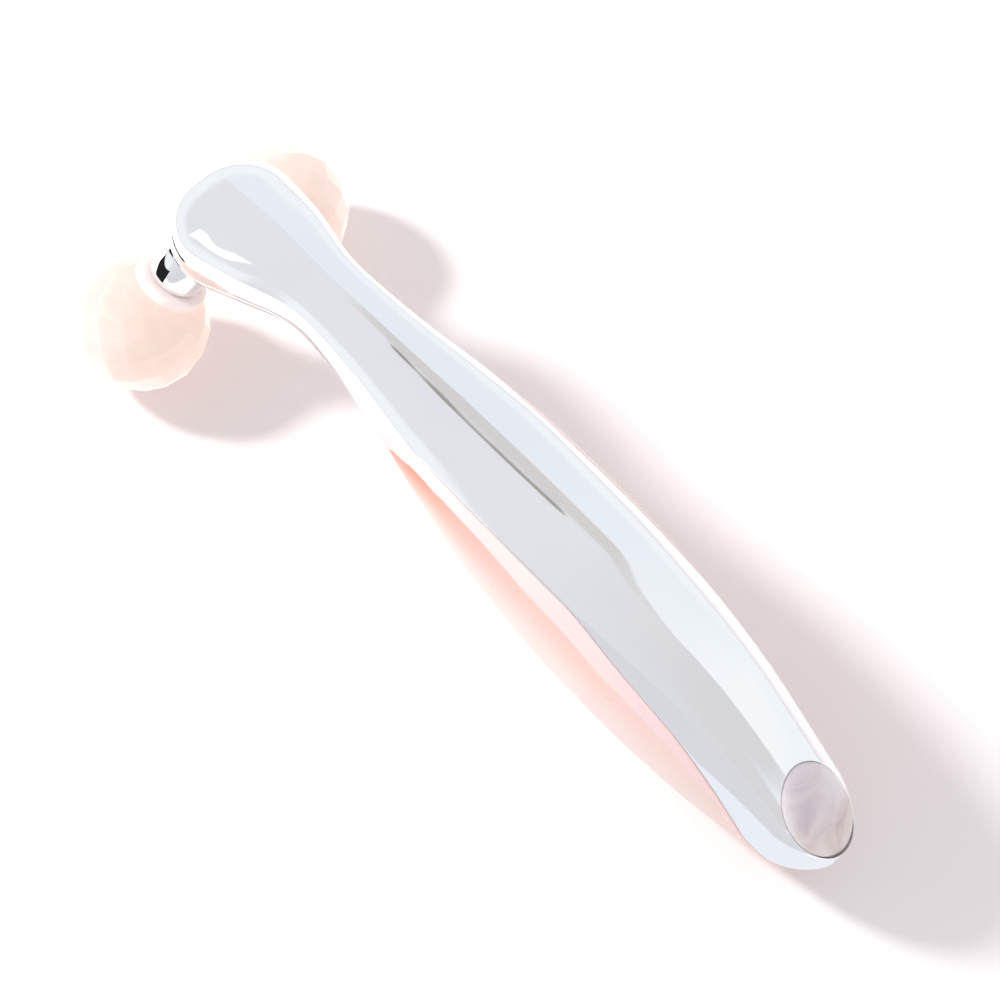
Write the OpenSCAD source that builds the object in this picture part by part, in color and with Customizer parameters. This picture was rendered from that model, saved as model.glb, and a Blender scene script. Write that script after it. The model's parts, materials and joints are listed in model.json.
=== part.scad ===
// Face roller with two faceted rose quartz balls on a splayed yoke, chrome upper shell,
// pink lower cover and an oval cabochon let into the tail. It lies on both balls and on
// the underside of its tail. X runs from the balls to the tail, Y to the right-hand ball,
// Z up. The origin is the bottom centre of the box around the whole roller.

/* [Balls] */
// Diameter over the corners of each ball
ball_d = 24; // [20:0.5:28]
// Facets around each ball
ball_sides = 12; // [10:2:14]
// Distance from the point where the axles meet to a ball's centre
ball_reach = 27.9; // [26:0.1:32]
// Lean of each axle outwards from vertical
axle_splay = 35.5; // [30:0.5:38]
// Lean of both axles forwards
axle_rake = 12; // [6:0.5:14]

/* [Axles] */
// Diameter of each axle pin
axle_d = 4; // [3:0.1:4.5]
// Radial running clearance of a hub sleeve on its pin
running_gap = 0.05; // [0.02:0.01:0.1]
// Outside diameter of the chrome collars
collar_d = 9.8; // [9:0.1:10.4]
// Diameter of the flange that shows at the mouth of each ball
flange_d = 12.8; // [12:0.1:13.4]

/* [Handle] */
// Radius of the round head seen from above
head_r = 11.8; // [11.5:0.1:12.5]
// Wall of the shells
wall = 1.8; // [1.4:0.1:2]
// Gap between the shells along their seams
seam_gap = 0.12; // [0.05:0.01:0.2]

/* [Cabochon] */
// Length of the oval stone
gem_length = 18.2; // [16.5:0.1:18.6]
// Width of the oval stone
gem_width = 11.7; // [10.5:0.1:12]
// Slope of the stone towards the tail
gem_slope = 47; // [45:1:49]

/* [Hidden] */
$fn = 48;

chrome = "lightsteelblue";
blush = "lightpink";
quartz = "mistyrose";
steel = "silver";
zinc = "darkgray";
lilac = "thistle";

// Stations of the handle from the head's centre: x, half width, height of the top line,
// height of the widest line, height of the bottom line
STATIONS = [
    [0, 11.8, 44.5, 36.5, 24],
    [10, 9.9, 46, 40, 29.5],
    [22, 7.1, 46.5, 41.3, 33.8],
    [36, 8.2, 46, 39, 30],
    [50, 10.6, 45, 35, 23.5],
    [66, 12.8, 44.3, 29, 16],
    [82, 13.2, 43.7, 23, 9],
    [98, 12.5, 41.2, 18.3, 3.5],
    [112, 11.2, 37.2, 14.8, 0.3],
    [124, 9.6, 29.9, 13, 0],
    [140.5, 7, 15.8, 13.6, 4.7]];
// Seam of the upper shell: x, angle round the section, 0 at the widest line, 90 on top
SEAM = [
    [-12, -12], [36, -12], [40.5, -12], [44, 2.5], [50, 27], [58, 41], [70, 45.5], [86, 46.5],
    [100, 38.5], [112, 30.5], [120, 18.5], [126, 1], [130, -16], [133, -44], [136, -90]];
tail_x = 131.5;
tail_end = 140.5;
joint_x = 40.5;
// Rings start at the nose of the head, and the seam closes at the second ring of the tail
NOSE = [for (angle = [0:15:75]) -head_r * cos(angle)];
TAIL = [for (angle = [15:15:90]) tail_x + (tail_end - tail_x) * sin(angle)];
seam_end = TAIL[1];
// Sections are rounder at the head and squarer over the handle
round_power = 2.5;
square_power = 2.7;
belly_power = 2.15;

// Cubic curve through column k of a table whose column 0 is x
function rows_before(table, x) = len([for (row = table) if (row[0] <= x) 1]);
function row_at(table, x) = max(0, min(len(table) - 2, rows_before(table, x) - 1));
function rise(table, k, i) = (table[i + 1][k] - table[i][k]) / (table[i + 1][0] - table[i][0]);
function slope_at(table, k, i) =
    i == 0 ? rise(table, k, 0)
    : i == len(table) - 1 ? rise(table, k, i - 1)
    : rise(table, k, i - 1) * rise(table, k, i) <= 0 ? 0
    : 2 / (1 / rise(table, k, i - 1) + 1 / rise(table, k, i));
function curve(table, k, x) =
    let (i = row_at(table, x),
        step = table[i + 1][0] - table[i][0],
        t = min(1, max(0, (x - table[i][0]) / step)))
    (2 * t * t * t - 3 * t * t + 1) * table[i][k]
    + (t * t * t - 2 * t * t + t) * step * slope_at(table, k, i)
    + (3 * t * t - 2 * t * t * t) * table[i + 1][k]
    + (t * t * t - t * t) * step * slope_at(table, k, i + 1);

// Point of the handle's skin at x and at an angle round the section, moved inwards by inset
function swell(value, power) = sign(value) * pow(abs(value), 2 / power);
function end_round(x) =
    x < 0 ? sqrt(max(0, 1 - pow(x / head_r, 2)))
    : x > tail_x ? sqrt(max(0, 1 - pow((x - tail_x) / (tail_end - tail_x), 2)))
    : 1;
function inset_x(x, inset) =
    x < 0 ? x * (head_r - inset) / head_r
    : x > tail_x ? tail_x + (x - tail_x) * (tail_end - tail_x - inset) / (tail_end - tail_x)
    : x;
function top_power(x) =
    x < 30 ? round_power
    : x > 56 ? square_power
    : round_power + (square_power - round_power) * (x - 30) / 26;
function skin(x, angle, inset) =
    let (width = curve(STATIONS, 1, x) - inset,
        middle = curve(STATIONS, 3, x),
        above = curve(STATIONS, 2, x) - middle - inset,
        below = middle - curve(STATIONS, 4, x) - inset,
        power = sin(angle) > 0 ? top_power(x) : belly_power,
        height = sin(angle) > 0 ? above : below,
        size = end_round(x))
    [inset_x(x, inset),
        width * size * swell(cos(angle), power),
        middle + height * size * swell(sin(angle), power)];

// Shell between an outer and an inner skin. A ring of one point is a pole. From ring
// closed_from on, the last point of a ring is its first, so the shell is a tube there.
function ring_start(rings, i) = i == 0 ? 0 : ring_start(rings, i - 1) + len(rings[i - 1]);
function flat_list(rings) = [for (ring = rings) for (point = ring) point];
function triangles(a, b, c, d) =
    [for (face = [[a, b, c], [a, c, d]])
        if (face[0] != face[1] && face[1] != face[2] && face[2] != face[0]) face];
module shell_solid(outer, inner, closed_from = 1000) {
    last = len(outer) - 1;
    across = max([for (ring = outer) len(ring)]) - 1;
    starts = [for (i = [0:last]) ring_start(outer, i)];
    count = len(flat_list(outer));
    function id(i, j) =
        starts[i] + (len(outer[i]) == 1 || (i >= closed_from && j == across) ? 0 : j);
    outer_faces = [for (i = [0:last - 1]) for (j = [0:across - 1])
        for (face = triangles(id(i, j), id(i, j + 1), id(i + 1, j + 1), id(i + 1, j))) face];
    inner_faces = [for (i = [0:last - 1]) for (j = [0:across - 1])
        for (face = triangles(id(i, j), id(i + 1, j), id(i + 1, j + 1), id(i, j + 1)))
            face + [count, count, count]];
    open_last = min(last, closed_from);
    first_rim = [for (i = [0:open_last - 1])
        for (face = triangles(id(i, 0), id(i + 1, 0), id(i + 1, 0) + count, id(i, 0) + count))
            face];
    second_rim = [for (i = [0:open_last - 1])
        for (face = triangles(id(i, across), id(i, across) + count,
            id(i + 1, across) + count, id(i + 1, across))) face];
    start_face = [if (len(outer[0]) > 1) for (j = [0:across - 1])
        for (face = triangles(id(0, j), id(0, j) + count, id(0, j + 1) + count, id(0, j + 1)))
            face];
    end_face = [if (len(outer[last]) > 1) for (j = [0:across - 1])
        for (face = triangles(id(last, j), id(last, j + 1), id(last, j + 1) + count,
            id(last, j) + count)) face];
    polyhedron(concat(flat_list(outer), flat_list(inner)),
        concat(outer_faces, inner_faces, first_rim, second_rim, start_face, end_face));
}

// One ring of a shell, from one angle to another, or a pole where the skin has closed
function ring(x, from, to, steps, inset) =
    end_round(x) < 0.001 ? [skin(x, 0, inset)]
    : abs(from - to) < 0.001 ? [skin(x, from, inset)]
    : [for (j = [0:steps]) skin(x, from + (to - from) * j / steps, inset)];
function seam_angle(x) = curve(SEAM, 1, x);
function upper_ring(x, inset) = ring(x, 180 - seam_angle(x), seam_angle(x), 22, inset);
function gap_angle(x) = seam_gap / curve(STATIONS, 1, x) * 180 / PI;
function lower_angle(x) = max(-90, seam_angle(x) - gap_angle(x));
function lower_ring(x, inset) = ring(x, lower_angle(x), -180 - lower_angle(x), 16, inset);

// Rings of a ball whose kite facets are flat: each ring's latitude follows from the two
// rings before it, as the line through a corner and the middle of the next edge meets the
// sphere again
half_step = 180 / ball_sides;
function next_corner(before, here) =
    let (middle = [here.x * cos(half_step), here.y],
        way = middle - before)
    before - 2 * (before * way) / (way * way) * way;
function corners(list, count) =
    len(list) == count ? list
    : corners(concat(list, [next_corner(list[len(list) - 2], list[len(list) - 1])]), count);
UPPER_CORNERS = corners([[1, 0], [cos(half_step), sin(half_step)]], 7);
function ball_ring(corner, i, up) =
    [for (j = [0:ball_sides - 1])
        let (turn = (j + i % 2 / 2) * 360 / ball_sides)
        [corner.x * cos(turn), corner.x * sin(turn), up * corner.y] * ball_d / 2];
function ball_rings() = concat(
    [for (i = [5:-1:1]) ball_ring(UPPER_CORNERS[i], i, -1)],
    [for (i = [0:6]) ball_ring(UPPER_CORNERS[i], i, 1)]);

// Frame of one axle: its origin is where the axles meet, its Z points to the ball's centre.
// side is -1 for the left-hand ball and 1 for the right-hand one
function turned_x(v, a) = [v.x, v.y * cos(a) - v.z * sin(a), v.y * sin(a) + v.z * cos(a)];
function turned_y(v, a) = [v.x * cos(a) + v.z * sin(a), v.y, -v.x * sin(a) + v.z * cos(a)];
function in_axle_frame(v) = turned_y(turned_x(v, -axle_splay + 180), axle_rake);
BALL_POINTS = [for (point = flat_list(ball_rings())) in_axle_frame(point)];
ball_height = -min([for (point = BALL_POINTS) point.z]);
apex_x = -5.3;
apex_z = ball_height - in_axle_frame([0, 0, ball_reach]).z;
front_x = apex_x + in_axle_frame([0, 0, ball_reach]).x + min([for (p = BALL_POINTS) p.x]);
centre_x = (front_x + tail_end) / 2;
module placed() {
    translate([-centre_x, 0, 0]) children();
}
module on_axle(side) {
    placed() translate([apex_x, 0, apex_z])
        rotate([0, axle_rake, 0]) rotate([side * axle_splay + 180, 0, 0]) children();
}
module tube(outer_d, inner_d, from, to) {
    translate([0, 0, from]) difference() {
        cylinder(d = outer_d, h = to - from);
        translate([0, 0, -1]) cylinder(d = inner_d, h = to - from + 2);
    }
}

// Places along each axle, from the point where the axles meet
axle_start = 3.6;
screw_reach = 6.2;
socket_end = 9.6;
collar_end = 15.6;
washer_end = 16;
flange_start = 16.1;
mouth = 17.9;
clip_start = 28.35;
clip_h = 0.5;
sleeve_end = 30.4;
axle_end = 29.9;
bore_end = 31.4;
sleeve_d = 7;
boss_d = 6.6;

// Faceted ball about its own centre, with its Z along the axle and its mouth at the bottom
module faceted_ball() {
    rings = ball_rings();
    last = len(rings) - 1;
    // The first ring is number 5 of the southern half, so odd rings are the shifted ones
    function shifted(i) = abs(i - 5) % 2;
    function id(i, j) = i * ball_sides + (j + ball_sides) % ball_sides;
    // Corner of ring i above or below corner j of its neighbour, on the right or the left
    kites = [for (i = [1:last - 1]) for (j = [0:ball_sides - 1])
        [id(i, j), id(i + 1, shifted(i) == 1 ? j + 1 : j), id(i, j + 1),
            id(i - 1, shifted(i) == 1 ? j + 1 : j)]];
    mouth_rim = [for (j = [0:ball_sides - 1])
        [id(0, j), id(1, shifted(0) == 1 ? j + 1 : j), id(0, j + 1)]];
    table_rim = [for (j = [0:ball_sides - 1])
        [id(last, j + 1), id(last - 1, shifted(last) == 1 ? j + 1 : j), id(last, j)]];
    mouth_face = [[for (j = [0:ball_sides - 1]) id(0, j)]];
    table_face = [[for (j = [ball_sides - 1:-1:0]) id(last, j)]];
    polyhedron(flat_list(rings),
        concat(kites, mouth_rim, table_rim, mouth_face, table_face));
}

// Moving pieces
module ball(side) {
    color(quartz) on_axle(side) difference() {
        translate([0, 0, ball_reach]) intersection() {
            faceted_ball();
            translate([0, 0, mouth - ball_reach]) cylinder(d = 2 * ball_d, h = 2 * ball_d);
        }
        translate([0, 0, mouth - 1]) cylinder(d = sleeve_d, h = bore_end - mouth + 1);
    }
}
module hub_sleeve(side) {
    color(blush) on_axle(side) difference() {
        union() {
            translate([0, 0, flange_start]) cylinder(d = flange_d, h = mouth - flange_start);
            translate([0, 0, mouth - 0.2]) cylinder(d = sleeve_d, h = sleeve_end - mouth + 0.2);
        }
        translate([0, 0, flange_start - 1])
            cylinder(d = axle_d + 2 * running_gap, h = sleeve_end - flange_start + 2);
        translate([0, 0, clip_start - 0.2]) cylinder(d = sleeve_d - 1, h = 10);
    }
}

// Fixed pieces of each axle
module axle(side) {
    color(steel) on_axle(side) difference() {
        translate([0, 0, axle_start]) cylinder(d = axle_d, h = axle_end - axle_start);
        tube(axle_d + 2, axle_d - 0.8, clip_start, clip_start + clip_h);
    }
}
module retaining_clip(side) {
    color(steel) on_axle(side) tube(axle_d + 1.6, axle_d - 0.8, clip_start, clip_start + clip_h);
}
module thrust_washer(side) {
    color(steel) on_axle(side) tube(8, axle_d, collar_end, washer_end);
}
module collar(side) {
    color(chrome) on_axle(side) tube(collar_d, axle_d, socket_end, collar_end);
}
module axle_screw(side) {
    color(steel) on_axle(side) translate([-boss_d / 2, 0, screw_reach]) rotate([0, 90, 0])
        cylinder(d = 2, h = (boss_d - axle_d) / 2);
}

// Yoke: hub where the axles meet, one boss for each axle, and a tang through the neck
tang_z = 37.5;
tang_h = 3.5;
tang_w = 6.4;
tang_start = -4;
tang_end = 46;
yoke_screw_x = [14, 40];
module yoke_body() {
    translate([apex_x, 0, apex_z]) sphere(d = 8);
    translate([tang_start, -tang_w / 2, apex_z]) cube([6, tang_w, tang_z + tang_h - apex_z]);
    translate([tang_start, -tang_w / 2, tang_z]) cube([tang_end - tang_start, tang_w, tang_h]);
}
module yoke() {
    color(zinc) difference() {
        union() {
            placed() yoke_body();
            for (side = [-1, 1]) on_axle(side) cylinder(d = boss_d, h = socket_end);
        }
        for (side = [-1, 1]) {
            on_axle(side) translate([0, 0, axle_start]) cylinder(d = axle_d, h = socket_end);
            on_axle(side) translate([-boss_d, 0, screw_reach]) rotate([0, 90, 0])
                cylinder(d = 2, h = boss_d);
        }
        for (x = yoke_screw_x) placed() translate([x, 0, tang_z - 1]) cylinder(d = 2.6, h = 6);
    }
}

// Pan-head screw that points up, with its seat at the given place
module screw(x, z, reach) {
    placed() translate([x, 0, z]) {
        cylinder(d = 2.5, h = reach);
        translate([0, 0, -1.5]) difference() {
            cylinder(d = 4.6, h = 1.5);
            translate([-1.8, -0.4, -1]) cube([3.6, 0.8, 1.7]);
            translate([-0.4, -1.8, -1]) cube([0.8, 3.6, 1.7]);
        }
    }
}
module yoke_screws() {
    color(steel) for (x = yoke_screw_x) screw(x, tang_z, 6);
}

// Steel bar under the bosses of the upper shell
weight_x = 66;
weight_l = 36;
weight_w = 13;
weight_z = 21;
weight_h = 7;
weight_screw_x = [72, 96];
module handle_weight() {
    color(zinc) difference() {
        placed() translate([weight_x, -weight_w / 2, weight_z])
            cube([weight_l, weight_w, weight_h]);
        for (x = weight_screw_x) placed() translate([x, 0, weight_z - 1]) {
            cylinder(d = 2.6, h = weight_h + 2);
            cylinder(d = 5, h = 3);
        }
    }
}
module weight_screws() {
    color(steel) for (x = weight_screw_x) screw(x, weight_z + 2, weight_h + 2);
}

// Oval stone, its pad and its seat, in a frame with Z square to the slope
gem_x = 133.4;
gem_z = 20.2;
gem_dome = 2.4;
gem_side = 1.6;
module at_gem() {
    placed() translate([gem_x, 0, gem_z]) rotate([0, gem_slope, 0]) children();
}
module oval(length, width, from, to) {
    translate([0, 0, from]) linear_extrude(to - from) scale([length / width, 1]) circle(d = width);
}
gem_steps = 6;
module cabochon() {
    levels = concat([-gem_side], [for (i = [0:gem_steps]) gem_dome * sin(90 * i / gem_steps)]);
    sizes = concat([1], [for (i = [0:gem_steps]) cos(90 * i / gem_steps)]);
    rings = [for (i = [0:gem_steps]) [for (turn = [0:10:350])
        [gem_length / 2 * cos(turn) * sizes[i], gem_width / 2 * sin(turn) * sizes[i], levels[i]]]];
    count = 36;
    sides = [for (i = [0:gem_steps - 1]) for (j = [0:count - 1]) let (k = (j + 1) % count)
        for (face = triangles(i * count + j, (i + 1) * count + j, (i + 1) * count + k,
            i * count + k)) face];
    last_start = gem_steps * count;
    crown = [for (j = [0:count - 1])
        [last_start + j, len(rings) * count, last_start + (j + 1) % count]];
    base = [[for (j = [0:count - 1]) j]];
    color(lilac) at_gem() polyhedron(
        concat(flat_list(rings), [[0, 0, gem_dome]]), concat(sides, crown, base));
}
module cabochon_pad() {
    color("white") at_gem() oval(gem_length - 1.5, gem_width - 1.5, -gem_side - 0.4, -gem_side);
}

// Tail filled up to just under its skin, which bounds the seat of the stone
module tail_core() {
    rows = [116, 122, 128, tail_x, TAIL[0], TAIL[1], TAIL[2], TAIL[3], TAIL[4]];
    count = 36;
    last_start = (len(rows) - 1) * count;
    sides = [for (i = [0:len(rows) - 2]) for (j = [0:count - 1]) let (k = (j + 1) % count)
        for (face = triangles(i * count + j, (i + 1) * count + j, (i + 1) * count + k,
            i * count + k)) face];
    placed() polyhedron(
        [for (x = rows) for (j = [0:count - 1]) skin(x, 360 * j / count, 0.4)],
        concat(sides, [[for (j = [0:count - 1]) j]],
            [[for (j = [count - 1:-1:0]) last_start + j]]));
}

// Shells of the handle
module upper_shell() {
    rows = concat(NOSE, [for (x = [0:5:40]) x], [for (x = [42:2:52]) x],
        [for (x = [56:6:128]) x], [tail_x], TAIL);
    closed = len([for (x = rows) if (x < seam_end - 0.01) 1]);
    color(chrome) difference() {
        union() {
            placed() shell_solid([for (x = rows) upper_ring(x, 0)],
                [for (x = rows) upper_ring(x, wall)], closed);
            for (x = yoke_screw_x) placed() translate([x, 0, tang_z + tang_h])
                cylinder(d = 5, h = curve(STATIONS, 2, x) - wall / 2 - tang_z - tang_h);
            for (x = weight_screw_x) placed() translate([x, 0, weight_z + weight_h])
                cylinder(d = 6, h = curve(STATIONS, 2, x + 3) - wall / 2 - weight_z - weight_h);
            intersection() {
                at_gem() oval(gem_length + 2.4, gem_width + 2.4, -gem_side - 1.8, 3);
                tail_core();
            }
        }
        for (x = yoke_screw_x) placed() translate([x, 0, tang_z]) cylinder(d = 2.5, h = 6);
        for (x = weight_screw_x) placed() translate([x, 0, weight_z]) cylinder(d = 2.5, h = 11);
        at_gem() oval(gem_length + 0.3, gem_width + 0.3, -gem_side - 0.4, 8);
    }
}
module chin_shell() {
    rows = concat(NOSE, [for (x = [0:5:35]) x], [joint_x - seam_gap]);
    color(chrome) difference() {
        union() {
            placed() shell_solid([for (x = rows) lower_ring(x, 0)],
                [for (x = rows) lower_ring(x, wall)]);
            for (side = [-1, 1]) on_axle(side)
                translate([0, 0, 4]) cylinder(d = collar_d, h = socket_end - 4);
        }
        for (side = [-1, 1]) on_axle(side) cylinder(d = boss_d + 0.2, h = socket_end + 5);
    }
}
module lower_cover() {
    rows = concat([joint_x], [for (x = [42:2:52]) x], [for (x = [56:6:128]) x],
        [tail_x, TAIL[0], TAIL[1]]);
    color(blush) placed() shell_solid([for (x = rows) lower_ring(x, 0)],
        [for (x = rows) lower_ring(x, wall)]);
}

upper_shell();
chin_shell();
lower_cover();
cabochon();
cabochon_pad();
yoke();
yoke_screws();
handle_weight();
weight_screws();
axle(-1);  // left_axle
axle_screw(-1);  // left_axle_screw
collar(-1);  // left_collar
thrust_washer(-1);  // left_thrust_washer
retaining_clip(-1);  // left_retaining_clip
hub_sleeve(-1);  // left_hub_sleeve
ball(-1);  // left_ball
axle(1);  // right_axle
axle_screw(1);  // right_axle_screw
collar(1);  // right_collar
thrust_washer(1);  // right_thrust_washer
retaining_clip(1);  // right_retaining_clip
hub_sleeve(1);  // right_hub_sleeve
ball(1);  // right_ball
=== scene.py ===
"""Face roller with two faceted rose quartz balls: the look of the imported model."""

import json
import math

import bmesh
import bpy
import numpy as np
from mathutils import Matrix, Vector


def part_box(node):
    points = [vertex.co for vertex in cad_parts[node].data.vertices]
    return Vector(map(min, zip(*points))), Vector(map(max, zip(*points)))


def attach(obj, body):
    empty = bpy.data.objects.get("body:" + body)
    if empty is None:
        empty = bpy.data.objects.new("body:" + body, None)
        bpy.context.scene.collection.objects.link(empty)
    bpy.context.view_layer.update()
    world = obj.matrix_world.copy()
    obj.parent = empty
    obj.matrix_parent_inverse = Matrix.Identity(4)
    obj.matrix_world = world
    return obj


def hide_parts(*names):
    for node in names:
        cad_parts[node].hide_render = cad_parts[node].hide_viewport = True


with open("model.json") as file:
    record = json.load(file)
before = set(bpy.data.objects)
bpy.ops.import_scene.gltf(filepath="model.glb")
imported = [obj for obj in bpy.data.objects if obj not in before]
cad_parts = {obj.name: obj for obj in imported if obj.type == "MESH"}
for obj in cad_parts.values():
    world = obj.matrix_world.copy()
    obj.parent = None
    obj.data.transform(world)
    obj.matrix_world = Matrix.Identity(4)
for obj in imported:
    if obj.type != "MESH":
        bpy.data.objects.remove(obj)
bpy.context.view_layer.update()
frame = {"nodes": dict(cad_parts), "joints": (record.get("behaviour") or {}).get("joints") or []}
MM = 0.001

# ---------------------------------------------------------------- handle surface
# Stations of the handle from the head's centre, in mm: x, half width, top, widest, bottom
STATIONS = np.array([
    [0, 11.8, 44.5, 36.5, 24],
    [10, 9.9, 46, 40, 29.5],
    [22, 7.1, 46.5, 41.3, 33.8],
    [36, 8.2, 46, 39, 30],
    [50, 10.6, 45, 35, 23.5],
    [66, 12.8, 44.3, 29, 16],
    [82, 13.2, 43.7, 23, 9],
    [98, 12.5, 41.2, 18.3, 3.5],
    [112, 11.2, 37.2, 14.8, 0.3],
    [124, 9.6, 29.9, 13, 0],
    [140.5, 7, 15.8, 13.6, 4.7]])
# Seam of the upper shell: x, angle round the section, 0 at the widest line, 90 on top
SEAM = np.array([
    [-12, -12], [36, -12], [40.5, -12], [44, 2.5], [50, 27], [58, 41], [70, 45.5], [86, 46.5],
    [100, 38.5], [112, 30.5], [120, 18.5], [126, 1], [130, -16], [133, -44], [136, -90]])
HEAD_R = 11.8
TAIL_X = 131.5
TAIL_END = 140.5
JOINT_X = 40.5
WALL = 1.8
SEAM_GAP = 0.05
# Roundness of the sections: 2 is an ellipse, more is boxier. The top gets boxier behind the head
TOP_POWER, TOP_POWER_GAIN, UNDER_POWER = 2.5, 0.2, 2.15
GAIN_START, GAIN_RUN = 30, 26
# Width of the cover's rim band along the handle: x, width
RIM_BAND = np.array([
    [44, 3.4], [60, 3.3], [78, 3.7], [88, 4.0], [98, 3.4], [110, 2.7], [120, 1.5], [128, 0.7]])
GEM_X, GEM_Z, GEM_SLOPE = 133.4, 20.2, 47.0
GEM_LENGTH, GEM_WIDTH, GEM_DOME, GEM_SIDE = 18.2, 11.7, 2.4, 1.6
GEM_PLAY, PAD_DEPTH, POCKET_TOP = 0.12, 0.4, 9
# The head's centre sits at this x in the row frame, in mm
ORIGIN_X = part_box("upper_shell")[1].x / MM - TAIL_END


def monotone(table, column, x):
    """Monotone cubic through one column of a table whose column 0 is x."""
    xs, ys = table[:, 0].astype(float), table[:, column].astype(float)
    rise = np.diff(ys) / np.diff(xs)
    slope = np.empty(len(xs))
    slope[0], slope[-1] = rise[0], rise[-1]
    for i in range(1, len(xs) - 1):
        a, b = rise[i - 1], rise[i]
        slope[i] = 0 if a * b <= 0 else 2 / (1 / a + 1 / b)
    x = np.clip(x, xs[0], xs[-1])
    i = np.clip(np.searchsorted(xs, x, side="right") - 1, 0, len(xs) - 2)
    step = xs[i + 1] - xs[i]
    t = (x - xs[i]) / step
    return ((2 * t**3 - 3 * t**2 + 1) * ys[i] + (t**3 - 2 * t**2 + t) * step * slope[i]
            + (3 * t**2 - 2 * t**3) * ys[i + 1] + (t**3 - t**2) * step * slope[i + 1])


# The skin's lines are smoothed, so that no kink shows in the plating
FINE_STEP, SMOOTHING = 0.25, 2.6
FINE_X = np.arange(-30, 170, FINE_STEP)
KERNEL = np.exp(-0.5 * (np.arange(-10, 10 + FINE_STEP, FINE_STEP) / SMOOTHING) ** 2)
KERNEL /= KERNEL.sum()


def smooth_line(column):
    line = monotone(STATIONS, column, FINE_X)
    pad = len(KERNEL) // 2
    return np.convolve(np.pad(line, pad, mode="edge"), KERNEL, mode="valid")


LINES = [None] + [smooth_line(column) for column in range(1, 5)]


def line_at(column, x):
    return float(np.interp(x, FINE_X, LINES[column]))


def seam_angle(x):
    return float(monotone(SEAM, 1, np.array([x]))[0])


def band_width(x):
    return float(np.interp(x, RIM_BAND[:, 0], RIM_BAND[:, 1]))


def swell(value, power):
    """A sine or cosine reshaped, so that an ellipse becomes a superellipse."""
    return math.copysign(abs(value) ** (2 / power), value)


def skin(x, angle, inset=0.0):
    """Point of the handle's skin in the row frame, in metres. x and inset are in mm."""
    if x < 0:
        size = math.sqrt(max(0.0, 1 - (x / HEAD_R) ** 2))
        place = x * (HEAD_R - inset) / HEAD_R
    elif x > TAIL_X:
        reach = TAIL_END - TAIL_X
        size = math.sqrt(max(0.0, 1 - ((x - TAIL_X) / reach) ** 2))
        place = TAIL_X + (x - TAIL_X) * (reach - inset) / reach
    else:
        size, place = 1.0, x
    middle = line_at(3, x)
    turn = math.radians(angle)
    if math.sin(turn) > 0:
        ease = min(1.0, max(0.0, (x - GAIN_START) / GAIN_RUN))
        power = TOP_POWER + TOP_POWER_GAIN * ease * ease * (3 - 2 * ease)
        height = line_at(2, x) - middle - inset
    else:
        power = UNDER_POWER
        height = middle - line_at(4, x) - inset
    width = line_at(1, x) - inset
    return Vector((
        (place + ORIGIN_X) * MM,
        width * size * swell(math.cos(turn), power) * MM,
        (middle + height * size * swell(math.sin(turn), power)) * MM))


# ---------------------------------------------------------------- mesh helpers
def make_object(name, points, faces, material, body, replaced=(), smooth_angle=35):
    mesh = bpy.data.meshes.new(name)
    mesh.from_pydata([tuple(p) for p in points], [], faces)
    work = bmesh.new()
    work.from_mesh(mesh)
    bmesh.ops.remove_doubles(work, verts=work.verts, dist=2e-7)
    bmesh.ops.dissolve_degenerate(work, edges=work.edges, dist=1e-8)
    bmesh.ops.recalc_face_normals(work, faces=work.faces)
    work.to_mesh(mesh)
    work.free()
    obj = bpy.data.objects.new(name, mesh)
    bpy.context.scene.collection.objects.link(obj)
    mesh.materials.append(material)
    shade(obj, smooth_angle)
    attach(obj, body)
    if replaced:
        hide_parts(*replaced)
    return obj


def shade(obj, smooth_angle):
    """Smooth shading, with sharp edges only where the surface turns by more than the angle."""
    mesh = obj.data
    work = bmesh.new()
    work.from_mesh(mesh)
    limit = math.radians(smooth_angle)
    for face in work.faces:
        face.smooth = True
    for edge in work.edges:
        turn = edge.calc_face_angle(0.0)
        edge.smooth = turn < limit
    work.to_mesh(mesh)
    work.free()


def lathe(profile, sides=96):
    """Points and faces of a ring or pin turned about Z. The profile is closed: (r, z) in mm."""
    points, faces = [], []
    count = len(profile)
    for i in range(sides):
        turn = 2 * math.pi * i / sides
        for r, z in profile:
            points.append(Vector((r * math.cos(turn), r * math.sin(turn), z)) * MM)
    for i in range(sides):
        k = (i + 1) % sides
        for j in range(count):
            m = (j + 1) % count
            faces.append((i * count + j, k * count + j, k * count + m, i * count + m))
    return points, faces


def rounded(profile, radius, steps=4):
    """The closed profile with each corner rounded."""
    out = []
    count = len(profile)
    for i in range(count):
        before, here, after = (Vector(profile[(i + d) % count]) for d in (-1, 0, 1))
        way_in, way_out = (here - before), (after - here)
        r = min(radius, way_in.length * 0.45, way_out.length * 0.45)
        if r < 1e-4 or way_in.angle(way_out) < math.radians(20) or here.x < 1e-6:
            out.append(tuple(here))
            continue
        a, b = here - way_in.normalized() * r, here + way_out.normalized() * r
        for s in range(steps + 1):
            t = s / steps
            out.append(tuple(a * (1 - t) ** 2 + here * 2 * t * (1 - t) + b * t * t))
    return out


# ---------------------------------------------------------------- materials
def new_material(name):
    material = bpy.data.materials.new(name)
    material.use_nodes = True
    nodes = material.node_tree.nodes
    nodes.clear()
    output = nodes.new("ShaderNodeOutputMaterial")
    shader = nodes.new("ShaderNodeBsdfPrincipled")
    material.node_tree.links.new(shader.outputs["BSDF"], output.inputs["Surface"])
    return material, material.node_tree, shader


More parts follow.
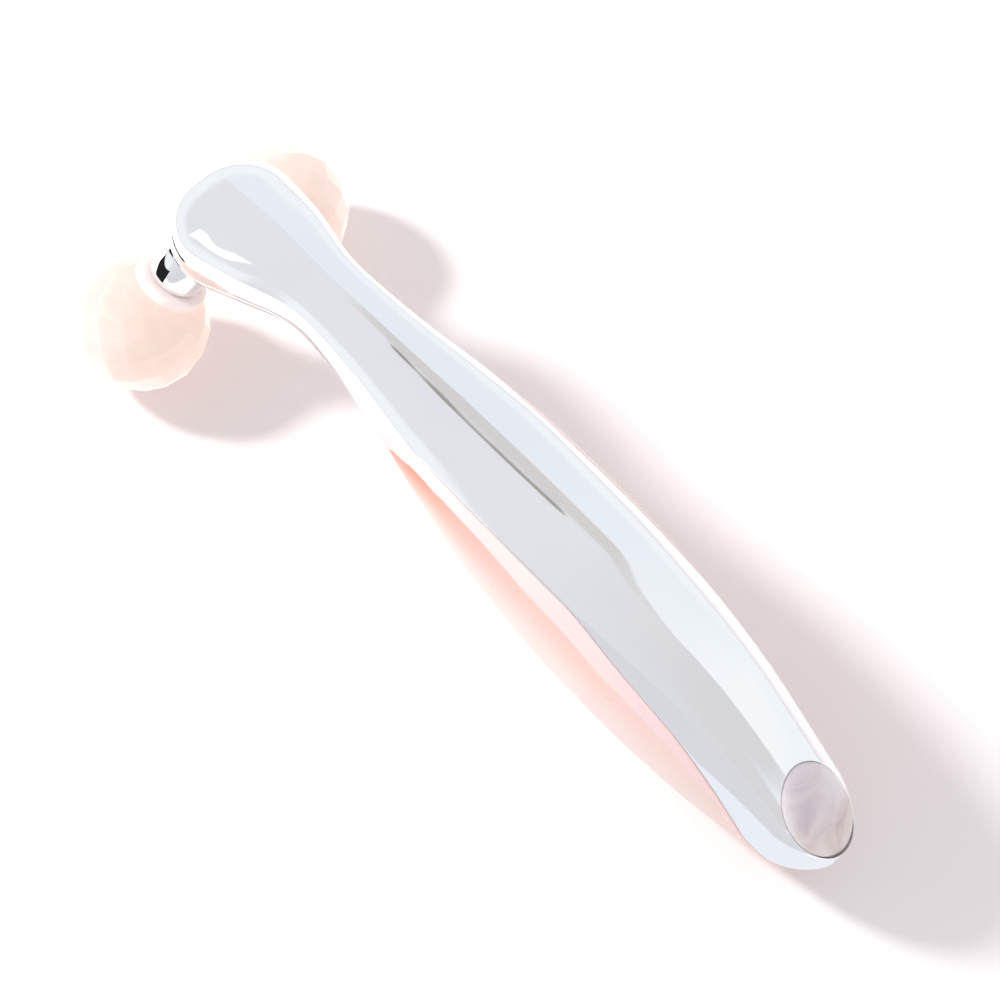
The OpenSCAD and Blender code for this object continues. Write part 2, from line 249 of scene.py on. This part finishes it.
def noise(tree, scale, detail=4.0, roughness=0.5, distortion=0.0):
    coords = tree.nodes.new("ShaderNodeTexCoord")
    texture = tree.nodes.new("ShaderNodeTexNoise")
    texture.inputs["Scale"].default_value = scale
    texture.inputs["Detail"].default_value = detail
    texture.inputs["Roughness"].default_value = roughness
    texture.inputs["Distortion"].default_value = distortion
    tree.links.new(coords.outputs["Object"], texture.inputs["Vector"])
    return texture.outputs["Fac"]


def ramp(tree, value, stops):
    node = tree.nodes.new("ShaderNodeValToRGB")
    elements = node.color_ramp.elements
    while len(elements) < len(stops):
        elements.new(0.5)
    for element, (place, colour) in zip(elements, stops):
        element.position = place
        element.color = (*colour, 1.0) if len(colour) == 3 else colour
    tree.links.new(value, node.inputs["Fac"])
    return node.outputs["Color"]


def spread(tree, value, low, high):
    """Maps 0..1 of a texture to low..high."""
    node = tree.nodes.new("ShaderNodeMapRange")
    node.inputs["To Min"].default_value = low
    node.inputs["To Max"].default_value = high
    tree.links.new(value, node.inputs["Value"])
    return node.outputs["Result"]


def bump(tree, shader, value, strength, distance):
    node = tree.nodes.new("ShaderNodeBump")
    node.inputs["Strength"].default_value = strength
    node.inputs["Distance"].default_value = distance
    tree.links.new(value, node.inputs["Height"])
    tree.links.new(node.outputs["Normal"], shader.inputs["Normal"])


def soft_step(tree, value, start, end):
    """0 at start, 1 at end, eased in between and held beyond."""
    node = tree.nodes.new("ShaderNodeMapRange")
    node.interpolation_type = "SMOOTHSTEP"
    node.inputs["From Min"].default_value = start
    node.inputs["From Max"].default_value = end
    tree.links.new(value, node.inputs["Value"])
    return node.outputs["Result"]


def maths(tree, operation, *values):
    node = tree.nodes.new("ShaderNodeMath")
    node.operation = operation
    for socket, value in zip(node.inputs, values):
        if isinstance(value, (int, float)):
            socket.default_value = value
        else:
            tree.links.new(value, socket)
    return node.outputs["Value"]


def product(tree, *values):
    out = values[0]
    for value in values[1:]:
        out = maths(tree, "MULTIPLY", out, value)
    return out


def blend(tree, share, under, over):
    """Mixes two colours, each a socket or a plain colour."""
    node = tree.nodes.new("ShaderNodeMix")
    node.data_type = "RGBA"
    tree.links.new(share, node.inputs["Factor"])
    for socket, colour in ((node.inputs[6], under), (node.inputs[7], over)):
        if isinstance(colour, tuple):
            socket.default_value = (*colour, 1.0)
        else:
            tree.links.new(colour, socket)
    return node.outputs[2]


def axes(tree, output="Object"):
    coords = tree.nodes.new("ShaderNodeTexCoord")
    parts = tree.nodes.new("ShaderNodeSeparateXYZ")
    tree.links.new(coords.outputs[output], parts.inputs["Vector"])
    return parts.outputs["X"], parts.outputs["Y"], parts.outputs["Z"]


def chrome_material():
    """Mirror plating with faint haze and the slight waves of a moulded base."""
    material, tree, shader = new_material("chrome")
    shader.inputs["Metallic"].default_value = 1.0
    tone = ramp(tree, noise(tree, 60, 5), [(0.3, (0.925, 0.935, 0.95)), (0.7, (0.95, 0.955, 0.965))])
    tree.links.new(tone, shader.inputs["Base Color"])
    tree.links.new(spread(tree, noise(tree, 140, 6, 0.6), 0.02, 0.06), shader.inputs["Roughness"])
    bump(tree, shader, noise(tree, 55, 2), 0.10, 0.0002)
    return material


def crease_ramp(tree, x, low, high):
    """Height of the cover's crease at x, as a share of the way from low to high in metres."""
    start, end, count = JOINT_X + 2, float(RIM_BAND[-1, 0]), 12
    stops = []
    for i in range(count):
        place = start + (end - start) * i / (count - 1)
        angle = seam_angle(place) - math.degrees(band_width(place) / line_at(1, place))
        height = (skin(place, angle).z - low) / (high - low)
        share = min(1.0, max(0.0, height))
        stops.append((i / (count - 1), (share, share, share)))
    along = tree.nodes.new("ShaderNodeMapRange")
    along.inputs["From Min"].default_value = (start + ORIGIN_X) * MM
    along.inputs["From Max"].default_value = (end + ORIGIN_X) * MM
    tree.links.new(x, along.inputs["Value"])
    return ramp(tree, along.outputs["Result"], stops), along.outputs["Result"]


def pink_material():
    """Pink plastic with painted light and shade: a painted lit rim band, painted shade deepest under
    the crease and near the neck, and paler down the belly and toward the tail.
    """
    material, tree, shader = new_material("pink_plastic")
    x, y, z = axes(tree)
    top = 0.045
    crease, along = crease_ramp(tree, x, 0.0, top)
    height = maths(tree, "DIVIDE", z, top)
    below = maths(tree, "SUBTRACT", crease, height)
    below = maths(tree, "ADD", below, spread(tree, noise(tree, 40, 2), -0.012, 0.012))
    # Painted shade: deep salmon under the crease, darkest near the neck
    crease_painted_shade = ramp(tree, along, [
        (0.0, (0.76, 0.17, 0.10)), (0.12, (0.80, 0.24, 0.16)), (0.25, (0.83, 0.40, 0.33)),
        (0.45, (0.84, 0.52, 0.46)), (1.0, (0.84, 0.66, 0.59))])
    # Painted light: the rim band faces the light and is painted pale
    rim_painted_light = ramp(tree, along, [
        (0.0, (0.74, 0.57, 0.54)), (0.15, (0.83, 0.71, 0.68)), (0.3, (0.83, 0.67, 0.64)),
        (0.6, (0.84, 0.67, 0.65)), (0.85, (0.86, 0.62, 0.60)), (1.0, (0.85, 0.57, 0.55))])
    # Painted light: the belly away from the crease, paler toward the tail
    belly_painted_light = ramp(tree, along, [
        (0.0, (0.84, 0.66, 0.60)), (0.4, (0.84, 0.66, 0.60)), (1.0, (0.87, 0.74, 0.68))])
    reach = maths(tree, "ADD", 0.17, maths(tree, "MULTIPLY", along, 0.24))
    share = maths(tree, "DIVIDE", below, reach)
    # Painted shading of the belly, from the shade under the crease out to the lighter belly
    belly_painted_shading = blend(tree, soft_step(tree, share, 0.0, 1.0), crease_painted_shade, belly_painted_light)
    tone = blend(tree, soft_step(tree, below, -0.006, 0.006), rim_painted_light, belly_painted_shading)
    tree.links.new(tone, shader.inputs["Base Color"])
    tree.links.new(spread(tree, noise(tree, 220, 5), 0.25, 0.33), shader.inputs["Roughness"])
    bump(tree, shader, noise(tree, 1200, 2), 0.02, 0.00003)
    return material


def quartz_material():
    """Rose quartz. The emission is a painted glow that stands for light scattered deep in the stone;
    the base colour is kept dark so that lit and shaded sides differ little.
    """
    material, tree, shader = new_material("rose_quartz")
    cloud = noise(tree, 70, 4, 0.5, 0.6)
    tone = ramp(tree, cloud, [
        (0.30, (0.28, 0.195, 0.17)), (0.50, (0.30, 0.225, 0.20)), (0.68, (0.33, 0.265, 0.245))])
    tree.links.new(tone, shader.inputs["Base Color"])
    tree.links.new(spread(tree, noise(tree, 300, 4), 0.08, 0.16), shader.inputs["Roughness"])
    shader.inputs["IOR"].default_value = 1.5
    # Painted glow: emission that evens out the stone's lit and shaded sides
    painted_glow = ramp(tree, cloud, [
        (0.30, (0.64, 0.515, 0.46)), (0.50, (0.65, 0.535, 0.485)), (0.68, (0.66, 0.565, 0.52))])
    tree.links.new(painted_glow, shader.inputs["Emission Color"])
    shader.inputs["Emission Strength"].default_value = 1.0
    shader.inputs["Subsurface Weight"].default_value = 1.0
    shader.inputs["Subsurface Radius"].default_value = (1.0, 0.85, 0.8)
    shader.inputs["Subsurface Scale"].default_value = 0.016
    bump(tree, shader, noise(tree, 160, 2), 0.03, 0.0001)
    return material


def frosted_material():
    """Frosted plastic of the sleeves, with a little painted glow that stands for light passed on from
    the stone.
    """
    material, tree, shader = new_material("frosted_pink")
    tone = ramp(tree, noise(tree, 90, 4), [(0.3, (0.93, 0.84, 0.81)), (0.7, (0.96, 0.885, 0.86))])
    tree.links.new(tone, shader.inputs["Base Color"])
    tree.links.new(spread(tree, noise(tree, 500, 4), 0.32, 0.46), shader.inputs["Roughness"])
    shader.inputs["Subsurface Weight"].default_value = 0.4
    shader.inputs["Subsurface Radius"].default_value = (1.0, 0.8, 0.9)
    shader.inputs["Subsurface Scale"].default_value = 0.0015
    # Painted glow: a faint emission
    shader.inputs["Emission Color"].default_value = (0.10, 0.06, 0.045, 1)
    shader.inputs["Emission Strength"].default_value = 1.0
    bump(tree, shader, noise(tree, 1500, 3), 0.1, 0.00004)
    return material


def lilac_material():
    material, tree, shader = new_material("lilac_stone")
    x, y, z = axes(tree)
    cloud = noise(tree, 130, 5, 0.5, 1.0)
    lilac = ramp(tree, cloud, [
        (0.32, (0.72, 0.63, 0.69)), (0.5, (0.86, 0.77, 0.80)), (0.68, (0.95, 0.90, 0.91))])
    brown = ramp(tree, cloud, [
        (0.32, (0.72, 0.60, 0.58)), (0.5, (0.87, 0.77, 0.74)), (0.68, (0.96, 0.90, 0.87))])
    middle = (GEM_Z + 0.5) * MM
    lower = soft_step(tree, z, middle + 0.003, middle - 0.003)
    tree.links.new(blend(tree, lower, lilac, brown), shader.inputs["Base Color"])
    tree.links.new(spread(tree, noise(tree, 260, 4), 0.02, 0.06), shader.inputs["Roughness"])
    shader.inputs["IOR"].default_value = 1.54
    shader.inputs["Transmission Weight"].default_value = 0.15
    shader.inputs["Subsurface Weight"].default_value = 0.4
    shader.inputs["Subsurface Radius"].default_value = (0.9, 0.8, 1.0)
    shader.inputs["Subsurface Scale"].default_value = 0.002
    shader.inputs["Coat Weight"].default_value = 0.5
    shader.inputs["Coat Roughness"].default_value = 0.02
    return material


def metal_material(name, low, high, rough_low, rough_high, grain):
    material, tree, shader = new_material(name)
    shader.inputs["Metallic"].default_value = 1.0
    tone = ramp(tree, noise(tree, 120, 4), [(0.3, low), (0.7, high)])
    tree.links.new(tone, shader.inputs["Base Color"])
    roughness = spread(tree, noise(tree, 400, 5), rough_low, rough_high)
    tree.links.new(roughness, shader.inputs["Roughness"])
    bump(tree, shader, noise(tree, grain, 4), 0.2, 0.00004)
    return material


def pad_material():
    material, tree, shader = new_material("adhesive")
    tone = ramp(tree, noise(tree, 700, 3), [(0.35, (0.80, 0.79, 0.80)), (0.65, (0.90, 0.89, 0.90))])
    tree.links.new(tone, shader.inputs["Base Color"])
    tree.links.new(spread(tree, noise(tree, 900, 3), 0.7, 0.9), shader.inputs["Roughness"])
    bump(tree, shader, noise(tree, 1200, 3), 0.4, 0.00008)
    return material


def floor_material():
    material, tree, shader = new_material("floor")
    tone = ramp(tree, noise(tree, 3, 3), [(0.3, (0.91, 0.84, 0.83)), (0.7, (0.92, 0.85, 0.84))])
    tree.links.new(tone, shader.inputs["Base Color"])
    shader.inputs["Roughness"].default_value = 0.85
    shader.inputs["Specular IOR Level"].default_value = 0.2
    return material


CHROME = chrome_material()
PINK = pink_material()
QUARTZ = quartz_material()
FROSTED = frosted_material()
LILAC = lilac_material()
STEEL = metal_material("steel", (0.62, 0.63, 0.65), (0.74, 0.75, 0.77), 0.2, 0.32, 900)
ZINC = metal_material("zinc", (0.48, 0.49, 0.51), (0.60, 0.61, 0.63), 0.4, 0.55, 500)
BAR = metal_material("weight_steel", (0.42, 0.43, 0.45), (0.56, 0.57, 0.59), 0.35, 0.5, 700)
PAD = pad_material()


# ---------------------------------------------------------------- shells
EDGE = 0.28
ACROSS = 72
CORNER_STEPS = 4
CORNER = [(1 - math.sin(a), 1 - math.cos(a))
          for a in (math.pi / 2 * s / CORNER_STEPS for s in range(1, CORNER_STEPS + 1))]


def section(x, low, high, edge, relief, start_drop=0.0):
    """One closed ring of a shell: outer arc, corner, inner arc back, corner, from high to low."""
    radius = max(0.5, line_at(1, x))
    pull = math.degrees(edge / radius)
    loop = []
    span = (high - pull) - (low + pull)
    for j in range(ACROSS + 1):
        angle = high - pull - span * j / ACROSS
        from_seam = min(high - angle, angle - low) * math.pi / 180 * radius
        loop.append(skin(x, angle, relief(x, from_seam) + start_drop))
    for along, down in CORNER:
        loop.append(skin(x, low + pull * along, edge * down + start_drop))
    for j in range(ACROSS, -1, -1):
        angle = high - (high - low) * j / ACROSS
        loop.append(skin(x, angle, WALL))
    for along, down in reversed(CORNER):
        loop.append(skin(x, high - pull * along, edge * down + start_drop))
    return loop


def shell(name, rows, limits, relief, material, replaced, closed_x=None, cut_ends=(None, None)):
    """Shell with rounded seam edges. limits(x) gives its two seam angles at x."""
    points, faces = [], []
    loop_size = 2 * (ACROSS + 1) + 2 * CORNER_STEPS
    corner_columns = set(range(ACROSS, ACROSS + CORNER_STEPS + 1))
    corner_columns |= set(range(loop_size - CORNER_STEPS - 1, loop_size))
    for x in rows:
        low, high = limits(x)
        edge = EDGE
        if closed_x is not None:
            edge *= min(1.0, max(0.0, (closed_x - x) / 1.5))
        drop = 0.0
        for cut in cut_ends:
            if cut is not None and abs(x - cut) < EDGE:
                drop = EDGE * (1 - math.sqrt(1 - (1 - abs(x - cut) / EDGE) ** 2))
        points += section(x, low, high, min(edge, (high - low) * 0.05), relief, drop)
    for i in range(len(rows) - 1):
        for j in range(loop_size):
            if closed_x is not None and rows[i] >= closed_x - 1e-6 and j in corner_columns:
                continue
            k = (j + 1) % loop_size
            a, b = i * loop_size, (i + 1) * loop_size
            faces.append((a + j, b + j, b + k, a + k))
    for i, cut in ((0, cut_ends[0]), (len(rows) - 1, cut_ends[1])):
        if cut is None:
            continue
        base = i * loop_size
        inner = ACROSS + 1 + CORNER_STEPS
        for j in range(ACROSS):
            faces.append((base + j, base + j + 1,
                          base + inner + ACROSS - j - 1, base + inner + ACROSS - j))
        faces.append(tuple(base + c for c in range(ACROSS, inner + 1)))
        faces.append((base,) + tuple(base + c for c in range(inner + ACROSS, loop_size)))
    return make_object(name, points, faces, material, "body", replaced)


def steps(start, end, size):
    """Even places from start to end, about size apart."""
    return list(np.linspace(start, end, max(2, int(round(abs(end - start) / size)) + 1)))


ROW_STEP = 0.9


def rows_between(start, end):
    """Rows of a shell, closer together where the skin turns quickly at the head and the tail."""
    rows = []
    if start < 0:
        rows += [-HEAD_R * math.cos(math.radians(a)) for a in np.linspace(0, 90, 31)]
    first = max(0.0, start)
    last = min(end, TAIL_X)
    rows += steps(first, last, ROW_STEP)
    if end > TAIL_X:
        top = math.degrees(math.asin((end - TAIL_X) / (TAIL_END - TAIL_X)))
        rows += [TAIL_X + (TAIL_END - TAIL_X) * math.sin(math.radians(a))
                 for a in np.linspace(0, top, int(round(top / 2.4)) + 1)]
    clean = []
    for row in rows:
        if not clean or row - clean[-1] > 1e-4:
            clean.append(float(row))
    return clean


def no_relief(x, from_seam):
    return 0.0


# Depths below the skin and lengths along it, in mm
BAND_DEPTH, GROOVE_DEPTH, GROOVE_RUN, GROOVE_EDGE = 0.10, 0.65, 1.6, 0.12


def cover_relief(x, from_seam):
    """Flat rim band under the seam, then a groove, then the belly."""
    band = band_width(x)
    fade = min(1.0, max(0.0, (x - JOINT_X - 1) / 6)) * min(1.0, max(0.0, (131 - x) / 8))
    if from_seam <= band:
        return BAND_DEPTH * fade * (from_seam / band)
    past = from_seam - band
    groove = math.exp(-past / GROOVE_RUN) * (1 - math.exp(-past / GROOVE_EDGE))
    return fade * (BAND_DEPTH + GROOVE_DEPTH * groove)


def gap_angle(x):
    return math.degrees(SEAM_GAP / line_at(1, x))


def upper_limits(x):
    if x >= SEAM[-1, 0]:
        return -90.0, 270.0
    return seam_angle(x), 180 - seam_angle(x)


def lower_limits(x):
    angle = max(-90.0, seam_angle(x) - gap_angle(x))
    return -180 - angle, angle


SEAM_END = float(SEAM[-1, 0])
# Rows that round a cut end, as shares of the rounding's radius
ROUNDING = (0, 0.06, 0.2, 0.5, 1)
upper_rows = rows_between(-HEAD_R, SEAM_END) + rows_between(SEAM_END, TAIL_END)[1:]
upper = shell("upper_plating", upper_rows, upper_limits, no_relief, CHROME,
              ("upper_shell",), closed_x=SEAM_END)
chin_rows = rows_between(-HEAD_R, JOINT_X - SEAM_GAP)
chin_rows = sorted(chin_rows[:-1] + [JOINT_X - SEAM_GAP - EDGE * c for c in ROUNDING])
shell("chin_plating", chin_rows, lower_limits, no_relief, CHROME, ("chin_shell",),
      cut_ends=(None, JOINT_X - SEAM_GAP))
cover_rows = rows_between(JOINT_X, SEAM_END)
cover_rows = sorted([JOINT_X + EDGE * c for c in ROUNDING] + cover_rows[1:])
shell("cover_moulding", cover_rows, lower_limits, cover_relief, PINK, ("lower_cover",),
      closed_x=SEAM_END, cut_ends=(JOINT_X, None))


# ---------------------------------------------------------------- cabochon and its pocket
TO_GEM = (Matrix.Translation(Vector(((GEM_X + ORIGIN_X) * MM, 0, GEM_Z * MM)))
          @ Matrix.Rotation(math.radians(GEM_SLOPE), 4, "Y"))


def oval_stack(levels, sides=120):
    """Points and faces of a closed stack of ovals: (length, width, height) in mm each."""
    points, faces = [], []
    for length, width, height in levels:
        for i in range(sides):
            turn = 2 * math.pi * i / sides
            points.append(TO_GEM @ (Vector((
                length / 2 * math.cos(turn), width / 2 * math.sin(turn), height)) * MM))
    for level in range(len(levels) - 1):
        for i in range(sides):
            k = (i + 1) % sides
            a, b = level * sides, (level + 1) * sides
            faces.append((a + i, a + k, b + k, b + i))
    faces.append(tuple(range(sides - 1, -1, -1)))
    faces.append(tuple((len(levels) - 1) * sides + i for i in range(sides)))
    return points, faces


def gem_levels():
    """Levels of the stone, from its flat back over the straight side to the dome's top."""
    levels = [
        (GEM_LENGTH - 0.8, GEM_WIDTH - 0.8, -GEM_SIDE),
        (GEM_LENGTH - 0.2, GEM_WIDTH - 0.2, -GEM_SIDE + 0.2),
        (GEM_LENGTH, GEM_WIDTH, -GEM_SIDE + 0.6),
        (GEM_LENGTH, GEM_WIDTH, 0)]
    steps_up = 24
    for i in range(1, steps_up + 1):
        turn = math.pi / 2 * i / steps_up
        size = max(0.004, math.cos(turn))
        levels.append((GEM_LENGTH * size, GEM_WIDTH * size, GEM_DOME * math.sin(turn)))
    return levels


points, faces = oval_stack(gem_levels())
make_object("cabochon_stone", points, faces, LILAC, "body", ("cabochon",), 50)

points, faces = oval_stack([
    (GEM_LENGTH + GEM_PLAY, GEM_WIDTH + GEM_PLAY, -GEM_SIDE - PAD_DEPTH),
    (GEM_LENGTH + GEM_PLAY, GEM_WIDTH + GEM_PLAY, POCKET_TOP)])
cutter_mesh = bpy.data.meshes.new("pocket")
cutter_mesh.from_pydata([tuple(p) for p in points], [], faces)
cutter = bpy.data.objects.new("pocket", cutter_mesh)
bpy.context.scene.collection.objects.link(cutter)
cut = upper.modifiers.new("pocket", "BOOLEAN")
cut.operation = "DIFFERENCE"
cut.solver = "EXACT"
cut.object = cutter
view = bpy.context.evaluated_depsgraph_get()
cut_mesh = bpy.data.meshes.new_from_object(upper.evaluated_get(view))
upper.modifiers.clear()
old_mesh = upper.data
upper.data = cut_mesh
bpy.data.meshes.remove(old_mesh)
bpy.data.objects.remove(cutter)
bpy.data.meshes.remove(cutter_mesh)


# ---------------------------------------------------------------- turned pieces on each axle
# Distances along an axle from the point where the axles meet, in mm
SOCKET_END, COLLAR_END, FLANGE_START, MOUTH = 9.6, 15.6, 16.1, 17.9
BALL_REACH = 27.9
COLLAR = rounded([(2.0, SOCKET_END), (4.9, SOCKET_END), (4.9, COLLAR_END), (2.0, COLLAR_END)], 0.35)
STUB = rounded([(3.4, 4.0), (4.9, 4.0), (4.9, SOCKET_END), (3.4, SOCKET_END)], 0.2)
SLEEVE = rounded([
    (2.05, FLANGE_START), (6.4, FLANGE_START), (6.4, MOUTH), (3.5, MOUTH), (3.5, 30.4),
    (3.0, 30.4), (3.0, 28.15), (2.05, 28.15)], 0.3)


def axle_frame(joint):
    """Frame whose origin is where the axles meet and whose Z points to the ball's centre."""
    along = Vector(joint["axis"]).normalized()
    centre = Vector(joint["pos_m"])
    turn = along.to_track_quat("Z", "Y").to_matrix().to_4x4()
    return Matrix.Translation(centre - along * BALL_REACH * MM) @ turn


def turned(name, profile, matrix, material, body, replaced=(), angle=30):
    points, faces = lathe(profile)
    return make_object(name, [matrix @ p for p in points], faces, material, body, replaced, angle)


for joint in frame["joints"]:
    side = joint["name"].split("_")[0]
    place = axle_frame(joint)
    turned(side + "_collar_tube", COLLAR, place, CHROME, "body", (side + "_collar",))
    turned(side + "_chin_socket", STUB, place, CHROME, "body")
    turned(side + "_flanged_sleeve", SLEEVE, place, FROSTED, side + "_roller",
           (side + "_hub_sleeve",))


# ---------------------------------------------------------------- pieces kept from the CAD
def dress(node, material, width=0.0, angle=30):
    """Gives a CAD node its material and, where a width is given, softened edges."""
    obj = frame["nodes"][node]
    obj.data.materials.clear()
    obj.data.materials.append(material)
    if width:
        bevel = obj.modifiers.new("edges", "BEVEL")
        bevel.width = width * MM
        bevel.segments = 2
        bevel.limit_method = "ANGLE"
        bevel.angle_limit = math.radians(angle)


for side in ("left", "right"):
    dress(side + "_ball", QUARTZ, 0.14, 4)
    dress(side + "_axle", STEEL, 0.1)
    dress(side + "_axle_screw", STEEL)
    dress(side + "_thrust_washer", STEEL)
    dress(side + "_retaining_clip", STEEL)
dress("yoke", ZINC, 0.2)
dress("yoke_screws", STEEL)
dress("handle_weight", BAR, 0.3)
dress("weight_screws", STEEL)
dress("cabochon_pad", PAD)


# ---------------------------------------------------------------- floor, light and camera
def floor():
    """The pale floor that the roller lies on, in a grid of faces."""
    points, faces = [], []
    count, half = 24, 1.5
    for i in range(count + 1):
        for j in range(count + 1):
            points.append((half * (2 * i / count - 1), half * (2 * j / count - 1), 0.0))
    for i in range(count):
        for j in range(count):
            a = i * (count + 1) + j
            faces.append((a, a + count + 1, a + count + 2, a + 1))
    mesh = bpy.data.meshes.new("floor")
    mesh.from_pydata(points, [], faces)
    mesh.materials.append(floor_material())
    obj = bpy.data.objects.new("floor", mesh)
    bpy.context.scene.collection.objects.link(obj)


floor()


def aim(obj, target):
    """Turns a light or camera to look at the target."""
    way = Vector(target) - obj.location
    obj.rotation_euler = way.to_track_quat("-Z", "Y").to_euler()


def area_light(name, place, target, size, watts, colour=(1, 1, 1)):
    data = bpy.data.lights.new(name, "AREA")
    data.shape = "DISK"
    data.size = size
    data.energy = watts
    data.color = colour
    obj = bpy.data.objects.new(name, data)
    obj.location = place
    bpy.context.scene.collection.objects.link(obj)
    aim(obj, target)
    return obj


key = area_light("key", (-0.436, -0.187, 0.379), (0, 0, 0.02), 0.10, 3.35, (0.96, 1.0, 1.02))
key.visible_glossy = False


def studio_world():
    """What the plating mirrors: a grey ceiling, a pale side, a beige strip and a lamp.

    x, y and z are the direction looked in, so each soft_step bounds a patch of the surroundings.
    """
    world = bpy.data.worlds.new("studio")
    bpy.context.scene.world = world
    world.use_nodes = True
    tree = world.node_tree
    background = tree.nodes["Background"]
    x, y, z = axes(tree, "Generated")

    to_tail = soft_step(tree, x, -0.3, 0.6)
    grey = blend(tree, to_tail, (0.81, 0.81, 0.84), (0.715, 0.71, 0.735))
    pale = blend(tree, to_tail, (0.85, 0.88, 0.93), (0.96, 0.985, 1.0))
    shifted = maths(tree, "ADD", y, maths(tree, "MULTIPLY", soft_step(tree, x, -0.05, 0.25), 0.2))
    sky = blend(tree, soft_step(tree, shifted, 0.37, 0.39), grey, pale)

    # Beige strip between the grey ceiling and the pale side
    strip = product(tree, soft_step(tree, shifted, 0.30, 0.315), soft_step(tree, shifted, 0.40, 0.38),
                    soft_step(tree, x, -0.36, -0.28), soft_step(tree, x, 0.25, -0.1))
    sky = blend(tree, strip, sky, (0.69, 0.66, 0.655))

    # Pale walls low down and beside the neck
    handle_side = product(tree, soft_step(tree, x, -0.30, -0.22), soft_step(tree, y, -0.35, -0.55))
    neck_side = product(tree, soft_step(tree, x, -0.26, -0.34), soft_step(tree, y, -0.70, -0.84))
    low = product(tree, soft_step(tree, z, 0.50, 0.26), maths(tree, "SUBTRACT", 1.0, handle_side))
    sky = blend(tree, maths(tree, "MAXIMUM", neck_side, low), sky, (0.93, 0.96, 0.985))

    # Narrow dark streak along the strip
    across = maths(tree, "DIVIDE", maths(tree, "SUBTRACT", y, 0.292), 0.014)
    along = maths(tree, "DIVIDE", maths(tree, "ADD", x, 0.242), 0.027)
    away = maths(tree, "SQRT", maths(tree, "ADD", product(tree, across, across),
                                     product(tree, along, along)))
    sky = blend(tree, soft_step(tree, away, 1.1, 0.6), sky, (0.36, 0.33, 0.31))

    # Lamp that gives the highlight on the head
    bent = maths(tree, "SUBTRACT", x, maths(tree, "MULTIPLY", y, 0.24))
    lamp = product(tree, soft_step(tree, bent, -0.53, -0.50), soft_step(tree, bent, -0.38, -0.42),
                   soft_step(tree, y, -0.66, -0.56), soft_step(tree, y, -0.32, -0.38),
                   soft_step(tree, z, 0.25, 0.35), soft_step(tree, x, -0.2, -0.3))
    sky = blend(tree, lamp, sky, (1.5, 1.5, 1.52))
    tree.links.new(sky, background.inputs["Color"])


def card(name, corners, colour):
    """A panel beyond the picture, seen only in the mirror surfaces."""
    mesh = bpy.data.meshes.new(name)
    mesh.from_pydata(corners, [], [(0, 1, 2, 3)])
    material, tree, shader = new_material(name)
    tone = ramp(tree, noise(tree, 8, 2), [(0.3, colour), (0.7, tuple(c * 1.03 for c in colour))])
    shader.inputs["Base Color"].default_value = (0, 0, 0, 1)
    shader.inputs["Specular IOR Level"].default_value = 0.0
    shader.inputs["Emission Strength"].default_value = 1.0
    tree.links.new(tone, shader.inputs["Emission Color"])
    mesh.materials.append(material)
    obj = bpy.data.objects.new(name, mesh)
    bpy.context.scene.collection.objects.link(obj)
    obj.visible_camera = obj.visible_diffuse = obj.visible_shadow = False
    obj.visible_transmission = False


studio_world()
# Panels above the floor: dark in the near collar, pale and grey under the handle's near side
card("collar_panel", [(-0.086, -0.022, 0.0232), (-0.067, -0.022, 0.0232),
                      (-0.067, -0.022, 0.0278), (-0.086, -0.022, 0.0278)], (0.02, 0.018, 0.02))
card("pale_ground", [(0.03, -0.036, 0.0006), (0.03, 0.0, 0.0006), (0.12, 0.0, 0.0006),
                     (0.12, -0.036, 0.0006)], (0.87, 0.89, 0.94))
card("grey_ground", [(0.0, -0.036, 0.0006), (0.25, -0.036, 0.0006), (0.60, -1.49, 0.0006),
                     (-0.37, -1.49, 0.0006)], (0.72, 0.72, 0.75))

camera_data = bpy.data.cameras.new("camera")
camera_data.lens = 106.3
camera_data.sensor_width = 36
camera_data.clip_start = 0.01
camera = bpy.data.objects.new("camera", camera_data)
bpy.context.scene.collection.objects.link(camera)
TARGET = Vector((-0.00075, 0.00352, 0.015))
AZIMUTH, ELEVATION, DISTANCE = math.radians(46.0), math.radians(64.05), 0.491
camera.location = TARGET + DISTANCE * Vector((
    math.cos(ELEVATION) * math.sin(AZIMUTH),
    -math.cos(ELEVATION) * math.cos(AZIMUTH),
    math.sin(ELEVATION)))
aim(camera, TARGET)
bpy.context.scene.camera = camera
bpy.context.scene.view_settings.view_transform = "Standard"
